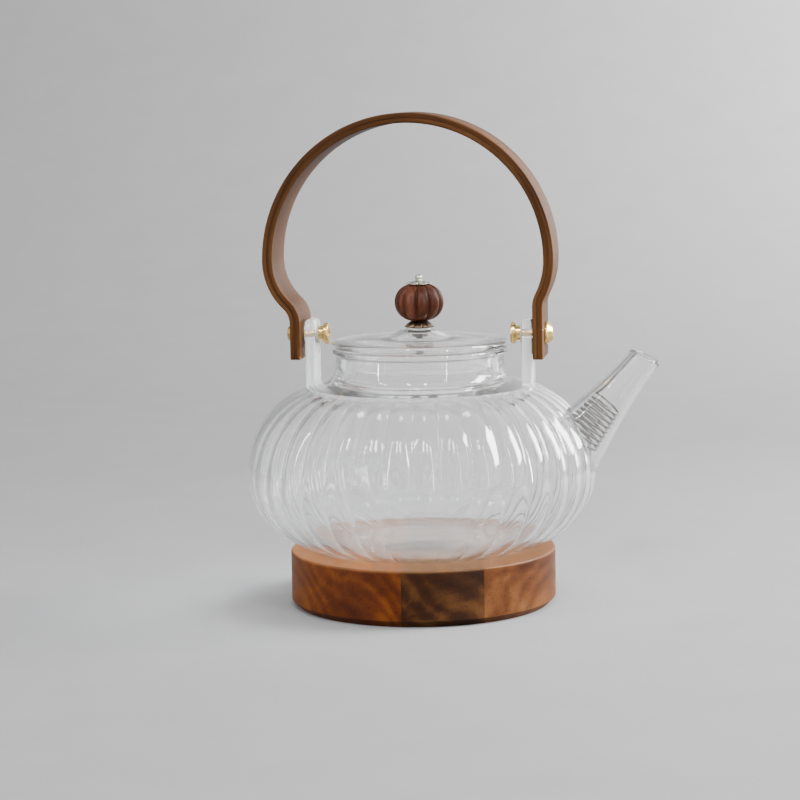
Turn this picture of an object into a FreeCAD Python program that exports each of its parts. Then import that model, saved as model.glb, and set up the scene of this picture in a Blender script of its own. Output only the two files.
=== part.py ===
import FreeCAD, Part
import Sketcher
import math
import os
import re

# A glass teapot with a ribbed bowl, a laminated bail handle, a lid with a carved knob and a
# coiled wire strainer in its spout, standing on a round edge-glued wooden stand.
# Frame: the origin is the centre of the stand's underside, +Z is up and +X points to the spout.

Vector = FreeCAD.Vector
Rotation = FreeCAD.Rotation
Placement = FreeCAD.Placement
X_AXIS = Vector(1, 0, 0)
Y_AXIS = Vector(0, 1, 0)
Z_AXIS = Vector(0, 0, 1)

doc = FreeCAD.newDocument("glass_teapot")

# ---------------------------------------------------------------- driving dimensions, mm and degrees
DIMENSIONS = [
    ("stand_radius", 52.8),
    ("stand_thickness", 22.0),
    ("stand_foot_radius", 50.2),
    ("stand_foot_chamfer", 2.6),
    ("stand_top_round", 0.8),
    ("stave_turn", 8.0),
    ("stave_margin", 5.0),
    ("stave_left_edge", -8.5),
    ("stave_right_edge", 23.3),
    ("foot_flat_radius", 34.0),
    ("bowl_radius", 69.3),
    ("belly_height", 52.0),
    ("shoulder_centre_radius", 36.0),
    ("shoulder_height", 88.0),
    ("rib_count", 36.0),
    ("rib_depth", 1.7),
    ("glass_wall", 2.0),
    ("neck_radius", 33.0),
    ("neck_bore", 30.0),
    ("neck_foot_radius", 39.5),
    ("neck_foot_height", 86.6),
    ("neck_base_height", 91.5),
    ("neck_overlap", 8.0),
    ("rim_radius", 35.0),
    ("rim_underside", 99.6),
    ("rim_flare", 0.9),
    ("rim_height", 102.0),
    ("lug_inner", 40.9),
    ("lug_thickness", 4.4),
    ("lug_width", 12.0),
    ("lug_bottom", 84.0),
    ("lug_top", 113.4),
    ("lug_edge_round", 1.6),
    ("pivot_height", 107.5),
    ("lug_hole_radius", 2.0),
    ("shaft_radius", 1.9),
    ("washer_radius", 4.0),
    ("outer_washer", 0.5),
    ("inner_washer", 0.6),
    ("running_gap", 0.15),
    ("ply_thickness", 2.0),
    ("handle_width", 25.0),
    ("leg_outer", 49.9),
    ("leg_bottom", 98.2),
    ("leg_hole_radius", 2.1),
    ("bow_shift", -3.0),
    ("bow_radius", 57.4),
    ("bow_centre_height", 137.0),
    ("waist_outer_radius", 8.0),
    ("left_waist_height", 112.5),
    ("right_waist_height", 118.5),
    ("head_radius", 4.5),
    ("head_thickness", 2.9),
    ("head_edge", 0.8),
    ("head_dome_inset", 2.1),
    ("head_round", 0.7),
    ("bolt_end_inset", 0.4),
    ("hub_radius", 2.9),
    ("hub_length", 1.9),
    ("nut_disc_radius", 4.2),
    ("nut_disc_thickness", 2.0),
    ("nut_round", 0.5),
    ("lid_radius", 35.0),
    ("lid_flange", 1.9),
    ("lid_edge_round", 1.2),
    ("lid_plate_fall", 0.3),
    ("lid_plate_rise", 0.5),
    ("lid_under_fall", 0.4),
    ("lid_edge_rise", 3.4),
    ("lid_wall", 2.0),
    ("skirt_radius", 29.0),
    ("skirt_depth", 8.5),
    ("boss_foot_radius", 13.5),
    ("boss_radius", 6.8),
    ("boss_inner_radius", 5.8),
    ("boss_inner_foot_radius", 12.0),
    ("boss_top", 109.2),
    ("screw_radius", 1.5),
    ("screw_gap", 0.1),
    ("screw_bottom", 102.6),
    ("screw_top", 127.6),
    ("lid_washer", 0.6),
    ("lid_washer_radius", 4.4),
    ("lid_nut_radius", 3.2),
    ("lid_nut_thickness", 2.2),
    ("petal_cap_height", 2.7),
    ("petal_cap_radius", 6.0),
    ("petal_count", 8.0),
    ("bead_radius", 9.75),
    ("bead_height", 14.6),
    ("bead_ribs", 10.0),
    ("bead_groove", 1.1),
    ("bead_end_angle", 66.0),
    ("crown_cap_radius", 5.2),
    ("crown_cap_height", 1.0),
    ("crown_petals", 6.0),
    ("finial_radius", 1.5),
    ("finial_seat_share", 0.75),
    ("spout_wall", 1.5),
    ("spout_tilt", 50.7),
    ("spout_length", 51.6),
    ("spout_root_radius", 13.4),
    ("spout_flare_radius", 12.0),
    ("spout_flare_at", 9.0),
    ("spout_base_radius", 9.9),
    ("spout_base_at", 19.0),
    ("spout_middle_radius", 7.5),
    ("spout_middle_at", 34.0),
    ("spout_mouth_radius", 6.05),
    ("mouth_slant", 12.0),
    ("mouth_trim_depth", 1.4),
    ("coil_wire_radius", 0.35),
    ("coil_wide_radius", 8.3),
    ("coil_narrow_radius", 5.9),
    ("coil_turns", 9.0),
    ("coil_start", 8.0),
    ("coil_end", 26.5),
    ("tail_end", 46.0),
    ("tail_offset", 3.9),
    ("tail_loop_radius", 1.1),
]

sheet = doc.addObject("Spreadsheet::Sheet", "Sheet")
for row, (name, value) in enumerate(DIMENSIONS, start=1):
    sheet.set(f"A{row}", name)
    sheet.set(f"B{row}", str(value))
    sheet.setAlias(f"B{row}", name)
doc.recompute()


def size(words):
    """The value of a sum of sheet names and numbers, such as 'rim_height + lid_flange'."""
    total = 0.0
    for sign, term in re.findall(r"([+-]?)\s*([\w.]+)", words):
        amount = float(term) if term[0].isdigit() else float(sheet.get(term))
        total += -amount if sign == "-" else amount
    return total


def bound(words):
    """The same sum as an expression that reads the sheet."""
    return re.sub(r"[A-Za-z]\w*", lambda match: "Sheet." + match.group(0), words)


# how far a drilled hole's tool runs past the piece, and how near two lengths count as the same
HOLE_OVERRUN = 5.0
SAME = 0.01


# ---------------------------------------------------------------- ways of making a piece
def new_body(label):
    """A PartDesign body with its label."""
    body = doc.addObject("PartDesign::Body", label)
    body.Label = label
    return body


def sketch_on(body, name, role):
    """A sketch in a body, on that body's own origin plane."""
    sketch = body.newObject("Sketcher::SketchObject", name)
    plane = next(item for item in body.Origin.OriginFeatures if item.Role == role)
    sketch.AttachmentSupport = (plane, [""])
    sketch.MapMode = "FlatFace"
    return sketch


def draw_outline(sketch, corners):
    """A closed outline with straight sides, each corner a pair of sums held by the sheet."""
    points = [Vector(size(across), size(up), 0) for across, up in corners]
    count = len(points)
    for number in range(count):
        sketch.addGeometry(Part.LineSegment(points[number], points[(number + 1) % count]), False)
    for number in range(count):
        sketch.addConstraint(Sketcher.Constraint("Coincident", number, 2, (number + 1) % count, 1))
    for number, (across, up) in enumerate(corners):
        for kind, words, value in (("DistanceX", across, points[number].x),
                                   ("DistanceY", up, points[number].y)):
            index = sketch.addConstraint(Sketcher.Constraint(kind, -1, 1, number, 1, value))
            sketch.setExpression(f"Constraints[{index}]", bound(words))


def turned(label, corners):
    """A body turned about its own Z axis from an outline of (radius, height) corners."""
    body = new_body(label)
    sketch = sketch_on(body, label + "_outline", "XZ_Plane")
    draw_outline(sketch, corners)
    turn = body.newObject("PartDesign::Revolution", label + "_turn")
    turn.Profile = sketch
    turn.ReferenceAxis = (sketch, ["V_Axis"])
    turn.Angle = 360.0
    sketch.Visibility = False
    body.Tip = turn
    doc.recompute()
    return body


def rounded(body, radius_words, wanted):
    """Rounds the edges of a body's last feature that the test picks."""
    base = body.Tip
    names = [f"Edge{n}" for n, edge in enumerate(base.Shape.Edges, start=1) if wanted(edge)]
    fillet = body.newObject("PartDesign::Fillet", body.Name + "_round")
    fillet.Base = (base, names)
    fillet.setExpression("Radius", bound(radius_words))
    body.Tip = fillet
    doc.recompute()


def cut(label, base, tool):
    """One shape with another taken away."""
    result = doc.addObject("Part::Cut", label)
    result.Label = label
    result.Base = base
    result.Tool = tool
    return result


def joined(label, pieces):
    """Several shapes fused into one."""
    result = doc.addObject("Part::MultiFuse", label)
    result.Label = label
    result.Shapes = pieces
    return result


def solid_feature(label, shape):
    """A feature that holds a shape made with Part's own functions."""
    feature = doc.addObject("Part::Feature", label)
    feature.Label = label
    feature.Shape = shape
    return feature


def rod(label, radius_words, start, end):
    """A round bar between two points."""
    bar = doc.addObject("Part::Cylinder", label)
    bar.Label = label
    bar.setExpression("Radius", bound(radius_words))
    bar.Height = (end - start).Length
    bar.Placement = Placement(start, Rotation(Z_AXIS, end - start))
    return bar


def at_angle(radius, angle, height):
    """A point at a radius and an angle about the Z axis."""
    return Vector(radius * math.cos(angle), radius * math.sin(angle), height)


def turned_copies(shape, count):
    """The shape repeated evenly about the Z axis."""
    copies = []
    for number in range(count):
        copy = shape.copy()
        copy.rotate(Vector(0, 0, 0), Z_AXIS, 360.0 * number / count)
        copies.append(copy)
    return copies


def ribbed_solid(rings, ribs, straight):
    """
    A solid with round ribs that meet in sharp valleys. Each ring is the ribs' radius, the height
    and the valleys' depth; one rib runs through the rings, smoothly or in straight strips from
    ring to ring, and is repeated about the axis.
    """
    half = math.pi / ribs
    arcs = []
    for radius, height, depth in rings:
        valley = radius - depth
        arcs.append(Part.Wire([Part.Arc(at_angle(valley, -half, height), at_angle(radius, 0, height),
                                        at_angle(valley, half, height)).toShape()]))
    strips = Part.makeLoft(arcs, False, straight, False, 3).Faces
    faces = [copy for strip in strips for copy in turned_copies(strip, ribs)]
    for end in (arcs[0], arcs[-1]):
        faces.append(Part.Face(Part.Wire(Part.__sortEdges__(turned_copies(end.Edges[0], ribs)))))
    shell = Part.Shell(faces)
    shell.sewShape()
    solid = Part.Solid(shell)
    if solid.Volume < 0:
        solid.reverse()
    return solid


def round_solid(rings):
    """A smooth round solid through the same kind of rings."""
    circles = [Part.Wire([Part.Circle(Vector(0, 0, height), Z_AXIS, radius).toShape()])
               for radius, height, depth in rings]
    return Part.makeLoft(circles, True, True)


# ---------------------------------------------------------------- the wooden stand
def make_stand():
    """A thick round disc, edge-glued from three staves."""
    disc = turned("stand_disc", [
        ("0", "0"),
        ("stand_foot_radius", "0"),
        ("stand_radius", "stand_foot_chamfer"),
        ("stand_radius", "stand_thickness"),
        ("0", "stand_thickness"),
    ])
    top = size("stand_thickness")
    rounded(disc, "stand_top_round", lambda edge: len(edge.Vertexes) == 1
            and abs(edge.BoundBox.ZMin - top) < SAME and abs(edge.BoundBox.ZMax - top) < SAME)
    margin = size("stave_margin")
    reach = size("stand_radius") + margin
    edges = [-reach, size("stave_left_edge"), size("stave_right_edge"), reach]
    spans = ["left", "middle", "right"]
    for number, side in enumerate(spans):
        block = doc.addObject("Part::Box", f"stave_block_{side}")
        block.Length = edges[number + 1] - edges[number]
        block.Width = 2 * reach
        block.setExpression("Height", bound("stand_thickness + stave_margin + stave_margin"))
        turn = Rotation(Z_AXIS, size("stave_turn"))
        block.Placement = Placement(turn.multVec(Vector(edges[number], -reach, -margin)), turn)
        stave = doc.addObject("Part::Common", f"stand_stave_{side}")
        stave.Label = f"stand_stave_{side}"
        stave.Base = disc
        stave.Tool = block
    return [f"stand_stave_{side}" for side in spans]


# ---------------------------------------------------------------- the glass pot
# angles of the bowl's rings round its lower and its upper quarter ellipse, in degrees
LOWER_STEPS = [0, 12, 24, 36, 48, 60, 72, 84]
UPPER_STEPS = [9, 21, 33, 45, 57, 69, 83]
FADE_RINGS = 3


def bowl_rings(inset, depth):
    """Rings up the bowl's side: a quarter ellipse up to the belly and one over the shoulder."""
    foot = size("foot_flat_radius")
    shoulder = size("shoulder_centre_radius")
    belly = size("belly_height")
    lower_reach = size("bowl_radius") - foot - inset
    upper_reach = size("bowl_radius") - shoulder - inset
    lower_fall = belly - size("stand_thickness") - inset
    upper_rise = size("shoulder_height") - belly - inset
    places = []
    for step in LOWER_STEPS:
        angle = math.radians(step)
        places.append((foot + lower_reach * math.sin(angle), belly - lower_fall * math.cos(angle)))
    for step in UPPER_STEPS:
        angle = math.radians(step)
        places.append((shoulder + upper_reach * math.cos(angle), belly + upper_rise * math.sin(angle)))
    last = len(places) - 1
    rings = []
    for number, (radius, height) in enumerate(places):
        fade = min(1.0, number / FADE_RINGS, (last - number) / FADE_RINGS)
        rings.append((radius, height, depth * fade))
    return rings


SPOUT_ROOT = Vector(57.5, 0, 59.5)
MOUTH_TRIM_BLOCK = 40.0


def spout_frame():
    """The placement whose own Z axis runs up the spout's centre line."""
    return Placement(SPOUT_ROOT, Rotation(Y_AXIS, 90 - size("spout_tilt")))


def in_spout(along, off):
    """A point up the spout's centre line, set off from it towards the lid side."""
    return spout_frame().multVec(Vector(-off, 0, along))


def spout_horn(label, wall_words, extra_words):
    """A flared round horn on the spout's centre line, thinned by a wall and lengthened."""
    horn = turned(label, [
        ("0", "0 - " + extra_words),
        ("spout_root_radius - " + wall_words, "0 - " + extra_words),
        ("spout_flare_radius - " + wall_words, "spout_flare_at"),
        ("spout_base_radius - " + wall_words, "spout_base_at"),
        ("spout_middle_radius - " + wall_words, "spout_middle_at"),
        ("spout_mouth_radius - " + wall_words, "spout_length + " + extra_words),
        ("0", "spout_length + " + extra_words),
    ])
    horn.Placement = spout_frame()
    return horn


def make_pot():
    """The ribbed bowl with its neck, the spout and the two lugs, which are fused on at the flame."""
    ribs = int(size("rib_count"))
    depth = size("rib_depth")
    wall = size("rib_depth + glass_wall")
    outer_bulb = solid_feature("bulb_outside", ribbed_solid(bowl_rings(0.0, depth), ribs, True))
    inner_bulb = solid_feature("bulb_inside", round_solid(bowl_rings(wall, 0.0)))
    neck = turned("neck_outside", [
        ("0", "belly_height"),
        ("neck_foot_radius - neck_overlap", "belly_height"),
        ("neck_foot_radius", "neck_foot_height"),
        ("neck_radius", "neck_base_height"),
        ("neck_radius", "rim_underside"),
        ("rim_radius", "rim_underside + rim_flare"),
        ("rim_radius", "rim_height"),
        ("0", "rim_height"),
    ])
    bore = turned("neck_inside", [
        ("0", "belly_height"),
        ("neck_bore - 1", "belly_height"),
        ("neck_bore", "neck_foot_height"),
        ("neck_bore", "rim_height + 1"),
        ("0", "rim_height + 1"),
    ])
    outside = joined("pot_outside", [outer_bulb, neck])
    inside = joined("pot_inside", [inner_bulb, bore])
    shell = cut("pot_shell", outside, inside)

    horn = spout_horn("spout_outside", "0", "0")
    horn_bore = spout_horn("spout_bore", "spout_wall", "1")
    cut("pot_bowl", shell, horn_bore)
    trim = doc.addObject("Part::Box", "mouth_trim")
    trim.Length = trim.Width = trim.Height = MOUTH_TRIM_BLOCK
    mouth = in_spout(size("spout_length") - size("mouth_trim_depth"), 0.0)
    slant = Rotation(Y_AXIS, 90 - size("spout_tilt") - size("mouth_slant"))
    corner = Vector(-MOUTH_TRIM_BLOCK / 2, -MOUTH_TRIM_BLOCK / 2, 0)
    trim.Placement = Placement(mouth + slant.multVec(corner), slant)
    spout_tube = cut("spout_tube", cut("spout_trimmed", horn, trim), horn_bore)
    cut("spout", spout_tube, outside)

    names = ["pot_bowl", "spout"]
    for side, sign in (("left", -1), ("right", 1)):
        block = doc.addObject("Part::Box", f"lug_block_{side}")
        block.setExpression("Length", bound("lug_thickness"))
        block.setExpression("Width", bound("lug_width"))
        block.setExpression("Height", bound("lug_top - lug_bottom"))
        near = size("lug_inner") if sign > 0 else -size("lug_inner + lug_thickness")
        block.Placement = Placement(Vector(near, -size("lug_width") / 2, size("lug_bottom")), Rotation())
        doc.recompute()
        softened = doc.addObject("Part::Fillet", f"lug_soft_{side}")
        softened.Base = block
        low = size("lug_bottom")
        radius = size("lug_edge_round")
        softened.Edges = [(n, radius, radius) for n, edge in enumerate(block.Shape.Edges, start=1)
                          if edge.BoundBox.ZMax > low + 1]
        hole = rod(f"lug_hole_{side}", "lug_hole_radius",
                   Vector(sign * (size("lug_inner") - HOLE_OVERRUN), 0, size("pivot_height")),
                   Vector(sign * (size("leg_outer") + HOLE_OVERRUN), 0, size("pivot_height")))
        cut(f"lug_{side}", cut(f"lug_bored_{side}", softened, hole), outside)
        names.append(f"lug_{side}")
    return names


# ---------------------------------------------------------------- pivot hardware
def place_on_pivot(body, side, start_words):
    """Turns a body so that its own Z axis points outward along the pivot, from a distance out."""
    sign = 1 if side == "right" else -1
    start = sign * size(start_words)
    body.Placement = Placement(Vector(start, 0, size("pivot_height")), Rotation(Y_AXIS, sign * 90))


def make_pivots():
    """On each side a domed bolt through the leg and the lug, with two washers and a nut inside."""
    names = []
    for side in ("left", "right"):
        stack = "lug_inner - inner_washer - hub_length - nut_disc_thickness"
        grip = "leg_outer + running_gap - lug_inner + inner_washer + hub_length + nut_disc_thickness"
        bolt = turned(f"pivot_bolt_{side}", [
            ("0", "bolt_end_inset"),
            ("shaft_radius", "bolt_end_inset"),
            ("shaft_radius", grip),
            ("head_radius", grip),
            ("head_radius", grip + " + head_edge"),
            ("head_radius - head_dome_inset", grip + " + head_thickness"),
            ("0", grip + " + head_thickness"),
        ])
        far = size(grip) + 0.5
        rounded(bolt, "head_round",
                lambda edge: len(edge.Vertexes) == 1 and edge.BoundBox.ZMin > far)
        place_on_pivot(bolt, side, stack)

        nut = turned(f"pivot_nut_{side}", [
            ("shaft_radius", "0"),
            ("nut_disc_radius", "0"),
            ("nut_disc_radius", "nut_disc_thickness"),
            ("hub_radius", "nut_disc_thickness"),
            ("hub_radius", "nut_disc_thickness + hub_length"),
            ("shaft_radius", "nut_disc_thickness + hub_length"),
        ])
        disc_radius = size("nut_disc_radius")
        rounded(nut, "nut_round", lambda edge: len(edge.Vertexes) == 1
                and abs(edge.BoundBox.XMax - disc_radius) < SAME)
        place_on_pivot(nut, side, stack)

        for place, start_words, thick in (
                ("inner", "lug_inner - inner_washer", "inner_washer"),
                ("outer", "lug_inner + lug_thickness", "outer_washer")):
            washer = turned(f"{place}_washer_{side}", [
                ("shaft_radius", "0"),
                ("washer_radius", "0"),
                ("washer_radius", thick),
                ("shaft_radius", thick),
            ])
            place_on_pivot(washer, side, start_words)
            names.append(washer.Label)
        names += [bolt.Label, nut.Label]
    return names


# ---------------------------------------------------------------- the laminated handle
def bow_line(inset):
    """
    Half-way round outline of the bow at a depth below its outer face, from the left leg's foot
    over the arch to the right leg's foot: straight legs, a waist that turns outward, a shoulder
    that turns back up, and a half circle.
    """
    centre = Vector(size("bow_shift"), 0, size("bow_centre_height"))
    arch = size("bow_radius") - inset
    edges = []
    for side, waist_words in ((-1, "left_waist_height"), (1, "right_waist_height")):
        waist_top = size(waist_words)
        rise = centre.z - waist_top
        step = abs(centre.x + side * size("bow_radius")) - size("leg_outer")
        bend = 2 * math.atan2(step, rise)
        waist_radius = size("waist_outer_radius")
        shoulder_radius = rise / math.sin(bend) - waist_radius
        waist_centre = Vector(side * (size("leg_outer") + waist_radius), 0, waist_top)
        belly_x = centre.x + side * size("bow_radius")
        shoulder_centre = Vector(belly_x - side * shoulder_radius, 0, centre.z)
        waist = waist_radius + inset
        shoulder = shoulder_radius - inset

        def on_waist(angle):
            return waist_centre + Vector(-side * waist * math.cos(angle), 0, waist * math.sin(angle))

        def on_shoulder(angle):
            return shoulder_centre + Vector(side * shoulder * math.cos(angle), 0,
                                            -shoulder * math.sin(angle))

        foot = Vector(side * (size("leg_outer") - inset), 0, size("leg_bottom"))
        run = [
            Part.LineSegment(foot, on_waist(0)),
            Part.Arc(on_waist(0), on_waist(bend / 2), on_waist(bend)),
            Part.Arc(on_waist(bend), on_shoulder(bend / 2), on_shoulder(0)),
        ]
        edges.append(run)
    left, right = edges
    top = Part.Arc(centre - X_AXIS * arch, centre + Z_AXIS * arch, centre + X_AXIS * arch)
    return [piece.toShape() for piece in left] + [top.toShape()] + [
        piece.toShape() for piece in reversed(right)]


def bow_ply(label, outer_inset, inner_inset):
    """One bent ply of the bow between two depths, as wide as the handle, bored for the bolts."""
    outer = Part.Wire(Part.__sortEdges__(bow_line(outer_inset)))
    inner = Part.Wire(Part.__sortEdges__(bow_line(inner_inset)))
    foot = size("leg_bottom")
    ends = []
    for side in (-1, 1):
        start = Vector(side * (size("leg_outer") - outer_inset), 0, foot)
        end = Vector(side * (size("leg_outer") - inner_inset), 0, foot)
        ends.append(Part.LineSegment(start, end).toShape())
    outline = Part.Wire(Part.__sortEdges__(outer.Edges + inner.Edges + ends))
    section = solid_feature(label + "_outline", Part.Face(outline))
    plank = doc.addObject("Part::Extrusion", label + "_plank")
    plank.Base = section
    plank.DirMode = "Custom"
    plank.Dir = Y_AXIS
    plank.setExpression("LengthFwd", bound("handle_width") + " / 2")
    plank.setExpression("LengthRev", bound("handle_width") + " / 2")
    plank.Solid = True
    return plank


def make_handle():
    """The bail handle: two walnut plies glued face to face."""
    ply = size("ply_thickness")
    reach = size("leg_outer") + HOLE_OVERRUN
    hole = rod("leg_hole", "leg_hole_radius", Vector(-reach, 0, size("pivot_height")),
               Vector(reach, 0, size("pivot_height")))
    cut("handle_outer_ply", bow_ply("outer_ply", 0.0, ply), hole)
    cut("handle_inner_ply", bow_ply("inner_ply", ply, 2 * ply), hole)
    return ["handle_outer_ply", "handle_inner_ply"]


# ---------------------------------------------------------------- the lid and its knob
# flower caps from the rim upwards: share of the cap's radius, rise above its rim, groove depth
PETAL_STATIONS = [(1.0, 0.0, 1.2), (0.93, 0.5, 1.1), (0.66, 1.3, 0.5)]
PETAL_TOP_SHARE = 0.55
CROWN_STATIONS = [(1.0, 0.0, 1.2), (0.85, 0.4, 1.0)]
CROWN_TOP_SHARE = 0.45
# the bead's rings, as shares of its end angle, and how full its sides are
BEAD_STATIONS = [-1.0, -0.73, -0.36, 0.0, 0.36, 0.73, 1.0]
BEAD_FULLNESS = 0.8


def make_lid():
    """A glass lid with a plug skirt and a raised centre, and a bead knob screwed through it."""
    plate_top = "rim_height + lid_edge_rise"
    lid = turned("lid_glass", [
        ("screw_radius + screw_gap", "boss_top - lid_wall"),
        ("boss_inner_radius", "boss_top - lid_wall"),
        ("boss_inner_foot_radius", "rim_height + lid_flange"),
        ("skirt_radius - lid_wall", "rim_height + lid_flange - lid_under_fall"),
        ("skirt_radius - lid_wall", "rim_height - skirt_depth"),
        ("skirt_radius", "rim_height - skirt_depth"),
        ("skirt_radius", "rim_height"),
        ("lid_radius", "rim_height"),
        ("lid_radius", plate_top + " - lid_plate_fall"),
        ("boss_foot_radius", plate_top + " + lid_plate_rise"),
        ("boss_radius", "boss_top"),
        ("screw_radius + screw_gap", "boss_top"),
    ])
    flange = size("lid_radius")
    rounded(lid, "lid_edge_round", lambda edge: len(edge.Vertexes) == 1
            and abs(edge.BoundBox.XMax - flange) < SAME)

    screw = turned("knob_screw", [
        ("0", "screw_bottom"),
        ("screw_radius", "screw_bottom"),
        ("screw_radius", "screw_top"),
        ("0", "screw_top"),
    ])
    under_boss = "boss_top - lid_wall - lid_washer"
    washers = []
    for place, low, high in (("lower", under_boss, "boss_top - lid_wall"),
                             ("upper", "boss_top", "boss_top + lid_washer")):
        washer = turned(f"lid_washer_{place}", [
            ("screw_radius", low),
            ("lid_washer_radius", low),
            ("lid_washer_radius", high),
            ("screw_radius", high),
        ])
        washers.append(washer.Label)
    nut = doc.addObject("Part::Prism", "lid_nut_blank")
    nut.Polygon = 6
    nut.setExpression("Circumradius", bound("lid_nut_radius"))
    nut.setExpression("Height", bound("lid_nut_thickness"))
    nut.Placement = Placement(Vector(0, 0, size(under_boss + " - lid_nut_thickness")), Rotation())
    cut("lid_nut", nut, screw)

    cap_low = size("boss_top + lid_washer")
    cap_high = cap_low + size("petal_cap_height")
    flare = size("petal_cap_radius")
    petal_rings = [(flare * share, cap_low + rise, depth) for share, rise, depth in PETAL_STATIONS]
    petal_rings.append((flare * PETAL_TOP_SHARE, cap_high, 0.0))
    flower = ribbed_solid(petal_rings, int(size("petal_count")), False)
    cut("knob_petal_cap", solid_feature("petal_flower", flower), screw)

    bead_centre = cap_high + size("bead_height") / 2
    lobes = int(size("bead_ribs"))
    bead_rings = []
    end_angle = math.radians(size("bead_end_angle"))
    for share in BEAD_STATIONS:
        angle = end_angle * share
        radius = size("bead_radius") * math.cos(angle) ** BEAD_FULLNESS
        height = bead_centre + math.sin(angle) / math.sin(end_angle) * size("bead_height") / 2
        bead_rings.append((radius, height, size("bead_groove") * math.cos(angle)))
    cut("knob_bead", solid_feature("bead_blank", ribbed_solid(bead_rings, lobes, False)), screw)

    crown_low = cap_high + size("bead_height")
    crown = size("crown_cap_radius")
    crown_rings = [(crown * share, crown_low + rise, depth) for share, rise, depth in CROWN_STATIONS]
    crown_rings.append((crown * CROWN_TOP_SHARE, crown_low + size("crown_cap_height"), 0.0))
    crown_blank = solid_feature("crown_flower", ribbed_solid(crown_rings, int(size("crown_petals")), False))
    cut("knob_crown_cap", crown_blank, screw)

    finial = doc.addObject("Part::Sphere", "finial_ball")
    finial.setExpression("Radius", bound("finial_radius"))
    base = crown_low + size("crown_cap_height")
    ball_height = base + size("finial_radius") * size("finial_seat_share")
    finial.Placement = Placement(Vector(0, 0, ball_height), Rotation())
    seat = doc.addObject("Part::Cylinder", "finial_seat")
    seat.Radius = 2 * crown
    seat.Height = 2 * crown
    seat.Placement = Placement(Vector(0, 0, base - 2 * crown), Rotation())
    cut("knob_finial", cut("finial_seated", finial, seat), screw)
    return ["lid_glass", "knob_screw", "lid_nut", "knob_petal_cap", "knob_bead", "knob_crown_cap",
            "knob_finial"] + washers


# ---------------------------------------------------------------- the strainer
STEPS_PER_TURN = 20
WIRE_SIDES = 6
LOOP_STEPS = 10
# the bend from the coil into the tail: distance past the coil and inset from its radius
TAIL_BENDS = [(1.2, 0.4), (3.0, 0.9)]


def wire_tube(points, radius, sides):
    """A closed many-sided tube along a run of points, its section carried without twisting."""
    tangents = []
    for number in range(len(points)):
        ahead = points[min(number + 1, len(points) - 1)]
        behind = points[max(number - 1, 0)]
        tangents.append((ahead - behind).normalize())
    across = tangents[0].cross(Y_AXIS).normalize()
    sections = []
    for point, tangent in zip(points, tangents):
        across = (across - tangent * across.dot(tangent)).normalize()
        upward = tangent.cross(across)
        section = []
        for side in range(sides):
            angle = 2 * math.pi * side / sides
            offset = across * math.cos(angle) + upward * math.sin(angle)
            section.append(point + offset * radius)
        sections.append(section)
    corners = []
    for low, high in zip(sections, sections[1:]):
        for side in range(sides):
            follow = (side + 1) % sides
            corners.append((low[side], low[follow], high[side]))
            corners.append((low[follow], high[follow], high[side]))
    faces = [Part.Face(Part.makePolygon([*corner, corner[0]])) for corner in corners]
    for end in (sections[0], sections[-1]):
        middle = (end[0] + end[sides // 2]) * 0.5
        for side in range(sides):
            faces.append(Part.Face(Part.makePolygon([middle, end[side], end[(side + 1) % sides], middle])))
    shell = Part.Shell(faces)
    shell.sewShape()
    solid = Part.Solid(shell)
    if solid.Volume < 0:
        solid.reverse()
    return solid


def make_strainer():
    """A conical coil of wire in the spout's root, with a straight tail up to a loop at the mouth."""
    turns = size("coil_turns")
    start = size("coil_start")
    end = size("coil_end")
    frame = spout_frame()
    points = []
    for step in range(int(turns * STEPS_PER_TURN) + 1):
        part = step / (turns * STEPS_PER_TURN)
        angle = 2 * math.pi * turns * (part - 1) + math.pi
        radius = size("coil_wide_radius") + (size("coil_narrow_radius") - size("coil_wide_radius")) * part
        points.append(frame.multVec(at_angle(radius, angle, start + (end - start) * part)))
    tail_offset = size("tail_offset")
    loop_radius = size("tail_loop_radius")
    for past, inset in TAIL_BENDS:
        points.append(in_spout(end + past, size("coil_narrow_radius") - inset))
    loop_centre = size("tail_end") + loop_radius
    for step in range(LOOP_STEPS):
        angle = 2 * math.pi * step / (LOOP_STEPS + 1)
        rise = loop_centre - loop_radius * math.cos(angle)
        points.append(frame.multVec(Vector(-tail_offset, loop_radius * math.sin(angle), rise)))
    solid_feature("strainer_coil", wire_tube(points, size("coil_wire_radius"), WIRE_SIDES))
    return ["strainer_coil"]


# ---------------------------------------------------------------- build, check and write
nodes = make_stand() + make_pot() + make_pivots() + make_handle() + make_lid() + make_strainer()
doc.recompute()

faults = [item.Label for item in doc.Objects if {"Invalid", "Error"} & set(item.State)]
if faults:
    raise RuntimeError("objects failed to recompute: " + ", ".join(faults))

os.makedirs("parts", exist_ok=True)
for node in nodes:
    shape = doc.getObjectsByLabel(node)[0].Shape
    if shape.isNull() or not shape.isValid():
        raise RuntimeError("sub-part has no valid shape: " + node)
    if len(shape.Solids) != 1:
        print("note:", node, "has", len(shape.Solids), "solids")
for node in nodes:
    piece = doc.getObjectsByLabel(node)[0]
    piece.Shape.exportStep(f"parts/{node}.step")
    box = piece.Shape.BoundBox
    print(f"{node:20s} {piece.Shape.Volume:10.1f} mm3  z {box.ZMin:7.2f} to {box.ZMax:7.2f}")
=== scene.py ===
import math

import bpy
from mathutils import Matrix, Vector


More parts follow.
